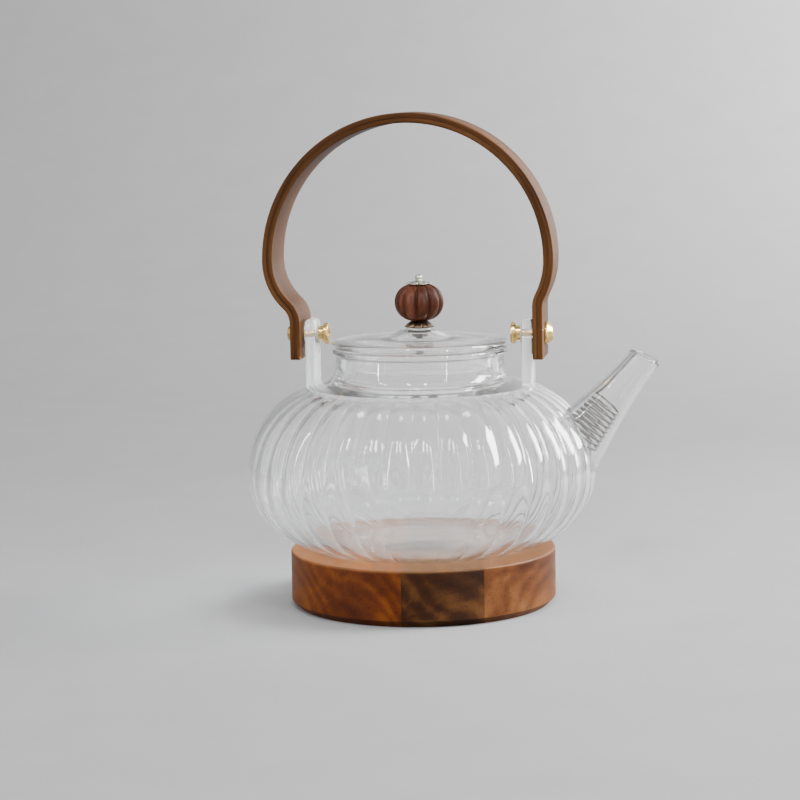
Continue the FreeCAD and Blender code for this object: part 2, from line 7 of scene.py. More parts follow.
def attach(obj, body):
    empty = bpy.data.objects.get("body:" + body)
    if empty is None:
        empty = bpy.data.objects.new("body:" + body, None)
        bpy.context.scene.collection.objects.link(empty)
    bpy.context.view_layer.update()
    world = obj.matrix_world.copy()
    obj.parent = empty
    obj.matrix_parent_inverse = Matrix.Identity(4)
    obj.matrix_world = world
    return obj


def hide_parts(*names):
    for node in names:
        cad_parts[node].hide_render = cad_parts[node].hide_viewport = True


# A ribbed glass teapot with a bent walnut handle, a bead-topped glass lid and a wire strainer in
# its spout, standing on a round acacia stand. Sizes are in millimetres, as in the CAD model, and
# MM turns them into metres.

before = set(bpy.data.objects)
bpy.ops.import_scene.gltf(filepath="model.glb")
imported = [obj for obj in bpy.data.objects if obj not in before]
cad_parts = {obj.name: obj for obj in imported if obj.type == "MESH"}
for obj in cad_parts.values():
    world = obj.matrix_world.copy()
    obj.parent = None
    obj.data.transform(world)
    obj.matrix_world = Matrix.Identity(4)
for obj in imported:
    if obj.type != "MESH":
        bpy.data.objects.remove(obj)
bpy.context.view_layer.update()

MM = 0.001
Z_AXIS = Vector((0, 0, 1))

# ---------------------------------------------------------------- sizes, mm and degrees
STAND_TOP = 22.0
RIBS = 36
STEPS_PER_RIB = 12
RIB_DEPTH = 1.7
INNER_RIB_SHARE = 1.0
GLASS_WALL = 1.5
FOOT_RADIUS = 34.0
BELLY_HEIGHT = 52.0
BELLY_RADIUS = 69.3
SHOULDER_CENTRE = 36.0
SHOULDER_HEIGHT = 88.0
SHOULDER_END = 76.0
NECK_RADIUS = 33.0
NECK_BORE = 30.0
RIM_TOP = 101.95
RIM_RADIUS = 35.0
SPOUT_ROOT = Vector((57.5, 0.0, 59.5))
SPOUT_TILT = 50.7
MOUTH_PLACE = 50.2
MOUTH_SLANT = 12.0
SPOUT_WALL = 1.5
PIVOT_HEIGHT = 107.5
LEG_HOLE_RADIUS = 2.1
HANDLE_WIDTH = 25.0
PLY = 2.0
LEG_OUTER = 49.9
LEG_BOTTOM = 98.2
BOW_SHIFT = -3.0
BOW_RADIUS = 57.4
BOW_CENTRE = 137.0
WAIST_RADIUS = 8.0
WAIST_HEIGHTS = {-1: 112.5, 1: 118.5}
LID_RADIUS = 35.0
LID_HOLE = 1.6
CAP_HIGH = 112.5
BEAD_RADIUS = 9.75
BEAD_HEIGHT = 14.6
BEAD_LOBES = 10
CROWN_HEIGHT = 1.0
FINIAL_RADIUS = 1.5
WIRE_RADIUS = 0.45


# ---------------------------------------------------------------- building meshes
def piece(name, points, faces, body, slot_name, *nodes):
    """A smooth-shaded mesh piece, in place of the CAD nodes it stands for."""
    mesh = bpy.data.meshes.new(name)
    mesh.from_pydata([tuple(point * MM) for point in points], [], faces)
    mesh.validate()
    mesh.polygons.foreach_set("use_smooth", [True] * len(mesh.polygons))
    made = bpy.data.objects.new(name, mesh)
    bpy.context.collection.objects.link(made)
    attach(made, body)
    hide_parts(*nodes)
    return made


def rings_to_mesh(rings, first_point=None, last_point=None):
    """Points and faces of a skin through closed rings, shut at its ends by points."""
    count = len(rings[0])
    points = [point for ring in rings for point in ring]
    faces = []
    for level in range(len(rings) - 1):
        low, high = level * count, (level + 1) * count
        for step in range(count):
            follow = (step + 1) % count
            faces.append((low + step, low + follow, high + follow, high + step))
    for end, start, flip in ((first_point, 0, True), (last_point, (len(rings) - 1) * count, False)):
        if end is None:
            continue
        points.append(end)
        tip = len(points) - 1
        for step in range(count):
            follow = (step + 1) % count
            pair = (start + follow, start + step) if flip else (start + step, start + follow)
            faces.append((*pair, tip))
    return points, faces


def turned_ring(radius, height, steps):
    """A circle of points about the Z axis."""
    return [Vector((radius * math.cos(2 * math.pi * step / steps),
                    radius * math.sin(2 * math.pi * step / steps), height)) for step in range(steps)]


def softened(corners, steps=5):
    """An outline of (radius, height, rounding) corners with every corner rounded."""
    outline = []
    count = len(corners)
    for number, (across, up, rounding) in enumerate(corners):
        here = Vector((across, up))
        if rounding == 0:
            outline.append(here)
            continue
        before = Vector(corners[number - 1][:2])
        after = Vector(corners[(number + 1) % count][:2])
        start = here + (before - here).normalized() * min(rounding, (before - here).length * 0.48)
        end = here + (after - here).normalized() * min(rounding, (after - here).length * 0.48)
        for step in range(steps + 1):
            share = step / steps
            outline.append(start * (1 - share) ** 2 + here * 2 * share * (1 - share) + end * share ** 2)
    return outline


def turned_mesh(outline, steps, closed):
    """A skin turned from an outline; a closed outline makes a ring with a hole through it."""
    rings = [turned_ring(place.x, place.y, steps) for place in outline]
    if closed:
        rings.append(rings[0])
        points, faces = rings_to_mesh(rings)
        spare = len(outline) * steps
        return points[:spare], [tuple(corner % spare for corner in face) for face in faces]
    first = Vector((0, 0, outline[0].y))
    last = Vector((0, 0, outline[-1].y))
    return rings_to_mesh(rings, first, last)


def subtract(target, name, points, faces):
    """Takes a closed shape away from a piece, for good."""
    mesh = bpy.data.meshes.new(name)
    mesh.from_pydata([tuple(point * MM) for point in points], [], faces)
    tool = bpy.data.objects.new(name, mesh)
    bpy.context.collection.objects.link(tool)
    modifier = target.modifiers.new("take_away", "BOOLEAN")
    modifier.operation = "DIFFERENCE"
    modifier.solver = "MANIFOLD"
    modifier.object = tool
    bpy.context.view_layer.update()
    evaluated = target.evaluated_get(bpy.context.evaluated_depsgraph_get())
    result = bpy.data.meshes.new_from_object(evaluated)
    target.modifiers.clear()
    target.data = result
    bpy.data.objects.remove(tool)


def smooth_except_edges(made, degrees):
    """Smooth shading that keeps the edges sharper than an angle."""
    made.data.polygons.foreach_set("use_smooth", [True] * len(made.data.polygons))
    made.data.set_sharp_from_angle(angle=math.radians(degrees))


# ---------------------------------------------------------------- node materials
def node(tree, kind, inputs=None, **settings):
    """A shader node with its settings, each input a value or another node's output."""
    made = tree.nodes.new(kind)
    for key, value in settings.items():
        setattr(made, key, value)
    for key, value in (inputs or {}).items():
        socket = made.inputs[key]
        if isinstance(value, bpy.types.NodeSocket):
            tree.links.new(value, socket)
        else:
            socket.default_value = value
    return made


def material(name):
    """A new material with its node tree and Principled shader."""
    made = bpy.data.materials.new(name)
    made.use_nodes = True
    tree = made.node_tree
    shader = next(item for item in tree.nodes if item.type == "BSDF_PRINCIPLED")
    return made, tree, shader


def maths(tree, operation, first, second=0.0):
    return node(tree, "ShaderNodeMath", {0: first, 1: second}, operation=operation).outputs[0]


def ramp(tree, factor, stops):
    """Colours along a factor, from (place, colour) stops."""
    made = node(tree, "ShaderNodeValToRGB", {"Fac": factor})
    elements = made.color_ramp.elements
    while len(elements) < len(stops):
        elements.new(0.5)
    for element, (place, colour) in zip(elements, stops):
        element.position = place
        element.color = (*colour, 1)
    return made.outputs["Color"]


def mix(tree, factor, first, second, blend="MIX"):
    made = node(tree, "ShaderNodeMix", data_type="RGBA", blend_type=blend)
    for index, value in ((0, factor), (6, first), (7, second)):
        if isinstance(value, bpy.types.NodeSocket):
            tree.links.new(value, made.inputs[index])
        else:
            made.inputs[index].default_value = value
    return made.outputs[2]


def object_place(tree, scale=(1, 1, 1), turn=(0, 0, 0), shift=(0, 0, 0)):
    """Object coordinates in metres, stretched, turned and shifted."""
    place = node(tree, "ShaderNodeTexCoord").outputs["Object"]
    return node(tree, "ShaderNodeMapping", {"Vector": place, "Scale": scale, "Rotation": turn,
                                            "Location": shift}).outputs["Vector"]


def noise(tree, place, scale, detail=3.0, roughness=0.55, distortion=0.0):
    return node(tree, "ShaderNodeTexNoise", {"Vector": place, "Scale": scale, "Detail": detail,
                                             "Roughness": roughness, "Distortion": distortion}
                ).outputs["Fac"]


def span(tree, value, low, high, to_low=0.0, to_high=1.0):
    """A value carried from one range to another and clamped there."""
    return node(tree, "ShaderNodeMapRange", {"Value": value, "From Min": low, "From Max": high,
                                             "To Min": to_low, "To Max": to_high}).outputs[0]


def bump(tree, height, strength, distance):
    return node(tree, "ShaderNodeBump", {"Height": height, "Strength": strength,
                                         "Distance": distance}).outputs["Normal"]


def glass_material(name, tint, waviness, haze):
    """Clear glass with faint waves and a thin haze; lamps shine through it with little loss."""
    made, tree, shader = material(name)
    shader.inputs["Base Color"].default_value = (*tint, 1)
    shader.inputs["Transmission Weight"].default_value = 1.0
    shader.inputs["IOR"].default_value = 1.47
    waves = noise(tree, object_place(tree, scale=(1, 1, 0.5)), 60.0, 2.0)
    fine = noise(tree, object_place(tree), 300.0, 2.0)
    tree.links.new(span(tree, fine, 0.45, 0.75, 0.0, 0.03), shader.inputs["Roughness"])
    tree.links.new(bump(tree, waves, waviness, 0.0004), shader.inputs["Normal"])
    output = next(item for item in tree.nodes if item.type == "OUTPUT_MATERIAL")
    lamp = node(tree, "ShaderNodeLightPath").outputs["Is Shadow Ray"]
    clear = node(tree, "ShaderNodeBsdfTransparent", {"Color": (0.90, 0.91, 0.91, 1)})
    veil = node(tree, "ShaderNodeBsdfDiffuse", {"Color": (0.93, 0.94, 0.94, 1)})
    hazy = node(tree, "ShaderNodeMixShader", {0: haze, 1: shader.outputs[0], 2: veil.outputs[0]})
    both = node(tree, "ShaderNodeMixShader", {0: lamp, 1: hazy.outputs[0], 2: clear.outputs[0]})
    tree.links.new(both.outputs[0], output.inputs["Surface"])
    return made


def walnut_grain(tree, shader, place, colours, pores=1.0):
    """Long streaks, fine pores and a satin skin; place has the grain along its X axis."""
    stretched = node(tree, "ShaderNodeMapping", {"Vector": place, "Scale": (9, 170, 170)}).outputs[0]
    streaks = noise(tree, stretched, 1.0, 5.0, 0.6, 0.6)
    broad = noise(tree, node(tree, "ShaderNodeMapping", {"Vector": place, "Scale": (12, 40, 40)}
                             ).outputs[0], 1.0, 2.0)
    colour = ramp(tree, streaks, [(0.30, colours[0]), (0.50, colours[1]), (0.72, colours[2])])
    shade = ramp(tree, broad, [(0.3, (0.72, 0.70, 0.68)), (0.7, (1.0, 1.0, 1.0))])
    colour = mix(tree, 0.8, colour, shade, "MULTIPLY")
    fine = noise(tree, node(tree, "ShaderNodeMapping", {"Vector": place, "Scale": (60, 1500, 1500)}
                            ).outputs[0], 1.0, 2.0)
    holes = span(tree, fine, 0.36, 0.46)
    pore_colour = ramp(tree, holes, [(0.0, (0.45, 0.42, 0.4)), (1.0, (1.0, 1.0, 1.0))])
    colour = mix(tree, 0.6 * pores, colour, pore_colour, "MULTIPLY")
    tree.links.new(colour, shader.inputs["Base Color"])
    shader.inputs["Specular IOR Level"].default_value = 0.08
    tree.links.new(span(tree, streaks, 0.3, 0.7, 0.42, 0.58), shader.inputs["Roughness"])
    tree.links.new(bump(tree, holes, 0.25, 0.00015), shader.inputs["Normal"])
    return colour


def handle_walnut():
    """Walnut whose grain follows the bend: X runs along the strip, Y across it."""
    made, tree, shader = material("walnut_bent")
    place = node(tree, "ShaderNodeUVMap", uv_map="strip").outputs["UV"]
    walnut_grain(tree, shader, place, [(0.01734, 0.00549, 0.00104), (0.04624, 0.01676, 0.00376),
                                       (0.09826, 0.04393, 0.01387)])
    return made


def bead_walnut():
    """Dark waxed walnut with upright grain; the grooves between the lobes come from the bead's shape, not from
    this material.
    """
    made, tree, shader = material("walnut_carved")
    place = object_place(tree, turn=(0, math.radians(90), 0))
    walnut_grain(tree, shader, place, [(0.01965, 0.00462, 0.00161), (0.04913, 0.01272, 0.00462),
                                       (0.09248, 0.02774, 0.01156)])
    shader.inputs["Coat Weight"].default_value = 0.12
    shader.inputs["Coat Roughness"].default_value = 0.3
    return made


def acacia(name, heart, colours, streak_scale, twist):
    """Acacia with growth rings about a heart line beside the stave, so that end grain and long
    grain belong together; heart is (x, z) of that line in metres."""
    made, tree, shader = material(name)
    place = object_place(tree, turn=(0, 0, math.radians(-8.0 + twist)))
    bent = mix(tree, 0.035, place, node(tree, "ShaderNodeTexNoise", {
        "Vector": place, "Scale": 22.0, "Detail": 3.0}).outputs["Color"], "ADD")
    parts = node(tree, "ShaderNodeSeparateXYZ", {"Vector": bent})
    across = maths(tree, "SUBTRACT", parts.outputs["X"], heart[0])
    up = maths(tree, "SUBTRACT", parts.outputs["Z"], heart[1])
    far = maths(tree, "SQRT", maths(tree, "ADD", maths(tree, "MULTIPLY", across, across),
                                    maths(tree, "MULTIPLY", up, up)))
    late = span(tree, maths(tree, "SINE", maths(tree, "MULTIPLY", far, streak_scale)), -1.0, 1.0)
    cloud = noise(tree, object_place(tree, scale=(55, 14, 70)), 1.0, 4.0, 0.6, 0.8)
    level = maths(tree, "ADD", maths(tree, "MULTIPLY", late, 0.13), maths(tree, "MULTIPLY", cloud, 0.95))
    colour = ramp(tree, level, [(0.30, colours[0]), (0.52, colours[1]), (0.78, colours[2])])
    pores = noise(tree, object_place(tree, scale=(1100, 90, 1100)), 1.0, 2.0)
    holes = span(tree, pores, 0.33, 0.43)
    colour = mix(tree, 0.5, colour, ramp(tree, holes, [(0.0, (0.4, 0.36, 0.33)), (1.0, (1, 1, 1))]),
                 "MULTIPLY")
    # painted highlight: the flat top is mixed towards a paler colour, standing in for the light that falls on it
    # from above
    height = node(tree, "ShaderNodeSeparateXYZ", {
        "Vector": node(tree, "ShaderNodeTexCoord").outputs["Object"]}).outputs["Z"]
    top = span(tree, height, (STAND_TOP - 1.2) * MM, (STAND_TOP - 0.3) * MM)
    colour = mix(tree, maths(tree, "MULTIPLY", top, 0.42), colour, (0.102, 0.044, 0.0125, 1))
    tree.links.new(colour, shader.inputs["Base Color"])
    shader.inputs["Specular IOR Level"].default_value = 0.10
    tree.links.new(span(tree, cloud, 0.3, 0.7, 0.40, 0.56), shader.inputs["Roughness"])
    tree.links.new(bump(tree, holes, 0.2, 0.00015), shader.inputs["Normal"])
    return made


def metal(name, dark, light, rough_low, rough_high, scale, dent=0.15):
    """Worn metal: a slow change of tone, finer change of gloss and faint dents."""
    made, tree, shader = material(name)
    shader.inputs["Metallic"].default_value = 1.0
    place = object_place(tree)
    tone = noise(tree, place, scale, 3.0)
    tree.links.new(ramp(tree, tone, [(0.35, dark), (0.65, light)]), shader.inputs["Base Color"])
    wear = noise(tree, place, scale * 4, 3.0)
    tree.links.new(span(tree, wear, 0.3, 0.7, rough_low, rough_high), shader.inputs["Roughness"])
    tree.links.new(bump(tree, wear, dent, 0.0001), shader.inputs["Normal"])
    return made


def silicone_material():
    """Milky silicone with a dusty, uneven gloss."""
    made, tree, shader = material("milky_silicone")
    place = object_place(tree)
    tone = noise(tree, place, 300.0, 3.0)
    tree.links.new(ramp(tree, tone, [(0.3, (0.72, 0.74, 0.73)), (0.7, (0.84, 0.85, 0.84))]),
                   shader.inputs["Base Color"])
    tree.links.new(span(tree, tone, 0.3, 0.7, 0.35, 0.5), shader.inputs["Roughness"])
    shader.inputs["Transmission Weight"].default_value = 0.6
    shader.inputs["IOR"].default_value = 1.41
    return made


# ---------------------------------------------------------------- the glass bowl and its neck
def rib_wave(angle):
    """0 on a rib's crest and 1 in the valley between two ribs."""
    share = ((angle * RIBS / (2 * math.pi) + 0.5) % 1.0 - 0.5) * 2
    return 0.7 * share ** 2 + 0.3 * (1 - math.cos(math.pi * share)) / 2


def bowl_outline(inset):
    """(radius, height, rib share) up the side, from the flat foot over the shoulder towards the neck."""
    places = []
    steps = 30
    for step in range(steps + 1):
        angle = math.radians(90 * step / steps)
        fade = min(1.0, 0.45 + step / 9)
        places.append((FOOT_RADIUS + (BELLY_RADIUS - FOOT_RADIUS - inset) * math.sin(angle),
                       BELLY_HEIGHT - (BELLY_HEIGHT - STAND_TOP - inset) * math.cos(angle), fade))
    for step in range(1, steps + 1):
        angle = math.radians(SHOULDER_END * step / steps)
        fade = min(1.0, (steps - step) / 4.0)
        places.append((SHOULDER_CENTRE + (BELLY_RADIUS - SHOULDER_CENTRE - inset) * math.cos(angle),
                       BELLY_HEIGHT + (SHOULDER_HEIGHT - BELLY_HEIGHT - inset) * math.sin(angle), fade))
    return places


def glass_bowl():
    """The blown bowl: ribs outside and inside, a smooth shoulder, a neck and a rolled rim."""
    count = RIBS * STEPS_PER_RIB
    angles = [2 * math.pi * step / count for step in range(count)]
    waves = [rib_wave(angle) for angle in angles]

    def ring(radius, height, depth):
        return [Vector(((radius - depth * wave) * math.cos(angle), (radius - depth * wave) * math.sin(angle),
                        height)) for angle, wave in zip(angles, waves)]

    rings = [ring(FOOT_RADIUS * share, STAND_TOP + 0.05, 0) for share in (0.15, 0.4, 0.7, 0.9)]
    rings += [ring(radius, max(height, STAND_TOP + 0.05), RIB_DEPTH * share)
              for radius, height, share in bowl_outline(0.0)]
    shoulder = bowl_outline(0.0)[-1]
    neck = softened([
        (shoulder[0], shoulder[1], 0.0),
        (NECK_RADIUS + 1.2, 89.3, 4.5),
        (NECK_RADIUS, 99.2, 0.6),
        (RIM_RADIUS - 0.1, 100.2, 0.5),
        (RIM_RADIUS - 0.1, RIM_TOP, 0.7),
        (NECK_BORE, RIM_TOP, 0.9),
        (NECK_BORE, 88.4, 3.5),
        (bowl_outline(GLASS_WALL)[-1][0] - 1.0, bowl_outline(GLASS_WALL)[-1][1] + 0.3, 1.0),
    ], 7)
    rings += [ring(place.x, place.y, 0) for place in neck[1:]]
    inner = [ring(radius, height, RIB_DEPTH * INNER_RIB_SHARE * share)
             for radius, height, share in bowl_outline(GLASS_WALL)]
    rings += list(reversed(inner))[1:]
    floor = STAND_TOP + GLASS_WALL
    rings += [ring(FOOT_RADIUS * share, floor + 0.5 * (1 - share) ** 2, 0)
              for share in (0.9, 0.7, 0.4, 0.15)]
    points, faces = rings_to_mesh(rings, Vector((0, 0, STAND_TOP + 0.05)), Vector((0, 0, floor + 0.5)))
    return piece("pot_bowl_glass", points, faces, "pot", "clear_glass", "pot_bowl")


# ---------------------------------------------------------------- the spout
SPOUT_FRAME = Matrix.Translation(SPOUT_ROOT) @ Matrix.Rotation(math.radians(90 - SPOUT_TILT), 4, "Y")
SPOUT_RADII = [(-6.0, 13.4), (0.0, 13.4), (9.0, 12.0), (19.0, 9.9), (34.0, 7.5), (51.6, 6.05), (60.0, 5.4)]


def spout_radius(along):
    """The spout's outer radius, on a smooth curve through its stations."""
    for number in range(1, len(SPOUT_RADII) - 2):
        (start, low), (end, high) = SPOUT_RADII[number], SPOUT_RADII[number + 1]
        if along <= end or number == len(SPOUT_RADII) - 3:
            before, after = SPOUT_RADII[number - 1], SPOUT_RADII[number + 2]
            span_length = end - start
            share = (along - start) / span_length
            slope_low = (high - before[1]) / (end - before[0]) * span_length
            slope_high = (after[1] - low) / (after[0] - start) * span_length
            return ((2 * share ** 3 - 3 * share ** 2 + 1) * low + (share ** 3 - 2 * share ** 2 + share) * slope_low
                    + (3 * share ** 2 - 2 * share ** 3) * high + (share ** 3 - share ** 2) * slope_high)


def spout_ring(along, wall, slant):
    """A ring round the spout; slant leans it towards the plane of the mouth."""
    steps = 96
    ring = []
    for step in range(steps):
        angle = 2 * math.pi * step / steps
        radius = spout_radius(along) - wall
        across = radius * math.cos(angle)
        lift = math.tan(math.radians(MOUTH_SLANT)) * across * slant
        ring.append(SPOUT_FRAME @ Vector((across, radius * math.sin(angle), along + lift)))
    return ring


def glass_spout(bowl):
    """The tapering tube with a fire-polished lip, fused to the bowl round an open hole."""
    levels = [(along, min(1.0, max(0.0, (along - 15) / 30))) for along in range(0, 49)]
    rings = [spout_ring(along, 0.0, slant) for along, slant in levels]
    lip = [(MOUTH_PLACE - 0.9, 0.02), (MOUTH_PLACE - 0.35, 0.18), (MOUTH_PLACE - 0.05, 0.45),
           (MOUTH_PLACE, 0.75), (MOUTH_PLACE - 0.05, 1.05), (MOUTH_PLACE - 0.35, 1.32),
           (MOUTH_PLACE - 0.9, 1.48)]
    rings += [spout_ring(along, wall, 1.0) for along, wall in lip]
    rings += [spout_ring(along, SPOUT_WALL, slant) for along, slant in reversed(levels)]
    count = len(rings[0])
    points, faces = rings_to_mesh(rings + [rings[0]])
    spare = len(rings) * count
    faces = [tuple(corner % spare for corner in face) for face in faces]
    spout = piece("spout_glass", points[:spare], faces, "pot", "clear_glass", "spout")

    bore_rings = [spout_ring(along, SPOUT_WALL, 0.0) for along in range(-5, 30)]
    bore_points, bore_faces = rings_to_mesh(bore_rings, SPOUT_FRAME @ Vector((0, 0, -5)),
                                            SPOUT_FRAME @ Vector((0, 0, 29)))
    subtract(bowl, "bore", bore_points, bore_faces)

    turned = 2 * math.pi / (RIBS * STEPS_PER_RIB)
    hull = []
    for radius, height, share in bowl_outline(0.0):
        ring = []
        for step in range(RIBS * STEPS_PER_RIB):
            angle = step * turned
            reach = radius - RIB_DEPTH * share * rib_wave(angle)
            ring.append(Vector((reach * math.cos(angle), reach * math.sin(angle), height)))
        hull.append(ring)
    hull_points, hull_faces = rings_to_mesh(hull, Vector((0, 0, STAND_TOP)),
                                            Vector((0, 0, hull[-1][0].z)))
    subtract(spout, "hull", hull_points, hull_faces)
    for made in (bowl, spout):
        smooth_except_edges(made, 50)
    return spout


# ---------------------------------------------------------------- the lid and its knob
def glass_lid():
    """Pressed glass: a thick flange, a plug skirt, a shallow plate and a raised centre."""
    outline = softened([
        (LID_HOLE, 107.2, 0.0),
        (5.8, 107.2, 1.2),
        (11.8, 103.9, 3.0),
        (27.0, 103.5, 1.6),
        (27.0, 93.6, 0.9),
        (28.9, 93.6, 0.9),
        (28.9, 102.05, 0.8),
        (LID_RADIUS - 0.1, 102.05, 0.9),
        (LID_RADIUS - 0.1, 105.1, 1.6),
        (30.0, 105.25, 2.0),
        (13.5, 105.9, 4.0),
        (6.8, 109.2, 1.2),
        (LID_HOLE, 109.2, 0.0),
    ])
    points, faces = turned_mesh(outline, 192, True)
    return piece("lid_clear_glass", points, faces, "lid", "clear_glass", "lid_glass")


def lobed_ring(radius, height, depth, lobes, steps, sharpness):
    """A ring with lobes: depth is how deep the grooves between them are cut."""
    ring = []
    for step in range(steps):
        angle = 2 * math.pi * step / steps
        share = abs(((angle * lobes / (2 * math.pi) + 0.5) % 1.0 - 0.5) * 2)
        reach = radius - depth * share ** sharpness
        ring.append(Vector((reach * math.cos(angle), reach * math.sin(angle), height)))
    return ring


def carved_bead():
    """A pumpkin-shaped bead with rounded lobes, dished at both ends."""
    centre = CAP_HIGH + BEAD_HEIGHT / 2
    rings = []
    for step in range(33):
        angle = math.radians(-78 + 156 * step / 32)
        radius = BEAD_RADIUS * math.cos(angle) ** 0.72
        height = centre + math.sin(angle) * BEAD_HEIGHT / 2 * 1.02
        height = min(max(height, CAP_HIGH + 0.02), CAP_HIGH + BEAD_HEIGHT - 0.02)
        rings.append(lobed_ring(radius, height, 1.7 * math.cos(angle) ** 0.5, BEAD_LOBES, 240, 3.0))
    points, faces = rings_to_mesh(rings, Vector((0, 0, CAP_HIGH + 0.6)),
                                  Vector((0, 0, CAP_HIGH + BEAD_HEIGHT - 0.6)))
    return piece("knob_bead_carved", points, faces, "lid", "walnut_bead", "knob_bead")


def petal_cap(name, replaced, slot_name, petals, stations, thickness):
    """A thin pressed flower cap; stations are (radius, height, groove depth) from the rim inwards."""
    outer = [lobed_ring(radius, height, depth, petals, 160, 3.0) for radius, height, depth in stations]
    inner = [lobed_ring(max(radius - thickness, 0.4), height - thickness * 0.5, depth, petals, 160, 3.0)
             for radius, height, depth in stations]
    rings = list(reversed(inner)) + outer
    first = Vector((0, 0, inner[-1][0].z))
    last = Vector((0, 0, outer[-1][0].z))
    points, faces = rings_to_mesh(rings, first, last)
    return piece(name, points, faces, "lid", slot_name, replaced)


def knob():
    """The bead between a dark flower cap and a pale one, with a ball on top."""
    bead = carved_bead()
    dark = petal_cap("knob_petal_cap_pressed", "knob_petal_cap", "dark_brass", 8,
                     [(5.95, 110.1, 1.5), (5.7, 110.6, 1.3), (5.0, 111.2, 0.9), (4.2, 111.8, 0.5),
                      (3.6, 112.2, 0.2), (3.2, 112.45, 0.0)], 0.5)
    crown_low = CAP_HIGH + BEAD_HEIGHT
    pale = petal_cap("knob_crown_cap_pressed", "knob_crown_cap", "pale_metal", 6,
                     [(5.1, crown_low + 0.15, 1.7), (4.7, crown_low + 0.40, 1.4), (3.8, crown_low + 0.65, 0.9),
                      (2.8, crown_low + 0.85, 0.4), (1.8, crown_low + 0.98, 0.0)], 0.35)
    base = crown_low + CROWN_HEIGHT
    outline = [Vector((1.3, base)), Vector((1.25, base + 0.35)), Vector((1.5, base + 0.6))]
    for step in range(12):
        angle = math.radians(-35 + 120 * step / 11)
        outline.append(Vector((FINIAL_RADIUS * math.cos(angle) * 0.98,
                               base + 1.35 + FINIAL_RADIUS * 0.92 * math.sin(angle))))
    points, faces = turned_mesh(outline, 48, False)
    finial = piece("knob_finial_turned", points, faces, "lid", "pale_metal", "knob_finial")
    return bead, dark, pale, finial


# ---------------------------------------------------------------- the handle
def bow_path(inset):
    """Points and outward directions round the bow at a depth below its outer face."""
    def side_run(side):
        centre_x = BOW_SHIFT
        rise = BOW_CENTRE - WAIST_HEIGHTS[side]
        step_out = abs(centre_x + side * BOW_RADIUS) - LEG_OUTER
        bend = 2 * math.atan2(step_out, rise)
        shoulder = rise / math.sin(bend) - WAIST_RADIUS
        run = []
        for step in range(9):
            share = step / 8
            run.append((Vector((side * LEG_OUTER, 0, LEG_BOTTOM + (WAIST_HEIGHTS[side] - LEG_BOTTOM) * share)),
                        Vector((side, 0, 0))))
        waist_centre = Vector((side * (LEG_OUTER + WAIST_RADIUS), 0, WAIST_HEIGHTS[side]))
        for step in range(1, 13):
            angle = bend * step / 12
            out = Vector((side * math.cos(angle), 0, -math.sin(angle)))
            run.append((waist_centre - out * WAIST_RADIUS, out))
        shoulder_centre = Vector((centre_x + side * (BOW_RADIUS - shoulder), 0, BOW_CENTRE))
        for step in range(1, 13):
            angle = bend * (1 - step / 12)
            out = Vector((side * math.cos(angle), 0, -math.sin(angle)))
            run.append((shoulder_centre + out * shoulder, out))
        return run

    left, right = side_run(-1), side_run(1)
    arch = []
    for step in range(1, 72):
        angle = math.pi * (1 - step / 72)
        out = Vector((math.cos(angle), 0, math.sin(angle)))
        arch.append((Vector((BOW_SHIFT, 0, BOW_CENTRE)) + out * BOW_RADIUS, out))
    return [(point - out * inset, out) for point, out in left + arch + list(reversed(right))]


def bent_ply(name, replaced, outer_inset, inner_inset):
    """One bent ply: a strip with eased edges, its UV map laid along the bend."""
    half = HANDLE_WIDTH / 2
    ease = 0.55
    section = []
    for across, depth in ((half, outer_inset), (-half, outer_inset), (-half, inner_inset), (half, inner_inset)):
        rounding = ease if depth in (0.0, 2 * PLY) else 0.12
        section.append((across, depth, rounding))
    outline = softened(section, 4)
    path = bow_path(0.0)
    rings = []
    lengths = [0.0]
    for number, (point, out) in enumerate(path):
        rings.append([point - out * place.y + Vector((0, place.x, 0)) for place in outline])
        if number:
            lengths.append(lengths[-1] + (point - path[number - 1][0]).length)
    # the end rings draw in a little, so that the ends of the legs are eased too
    for ring, along in ((rings[0], 1), (rings[-1], -1)):
        middle = sum(ring, Vector()) / len(ring)
        for number, point in enumerate(ring):
            ring[number] = middle + (point - middle) * 0.97
    first = sum(rings[0], Vector()) / len(rings[0])
    last = sum(rings[-1], Vector()) / len(rings[-1])
    points, faces = rings_to_mesh(rings, first, last)
    ply = piece(name, points, faces, "handle", "walnut", replaced)

    # distance along the strip, across it and into it, for the grain
    count = len(outline)
    layer = ply.data.uv_layers.new(name="strip")
    for loop in ply.data.loops:
        number = loop.vertex_index
        ring_number, place = divmod(number, count)
        if ring_number >= len(rings):
            ring_number, place = (0, 0) if number == len(rings) * count else (len(rings) - 1, 0)
        layer.data[loop.index].uv = (lengths[ring_number] * MM,
                                     (outline[place].x + outline[place].y * 1.7) * MM)
    reach = LEG_OUTER + 4
    hole = []
    for level in (-reach, reach):
        hole.append([Vector((level, point.x, PIVOT_HEIGHT + point.y))
                     for point in turned_ring(LEG_HOLE_RADIUS, 0, 40)])
    hole_points, hole_faces = rings_to_mesh(hole, Vector((-reach, 0, PIVOT_HEIGHT)),
                                            Vector((reach, 0, PIVOT_HEIGHT)))
    subtract(ply, "leg_hole", hole_points, hole_faces)
    smooth_except_edges(ply, 40)
    return ply


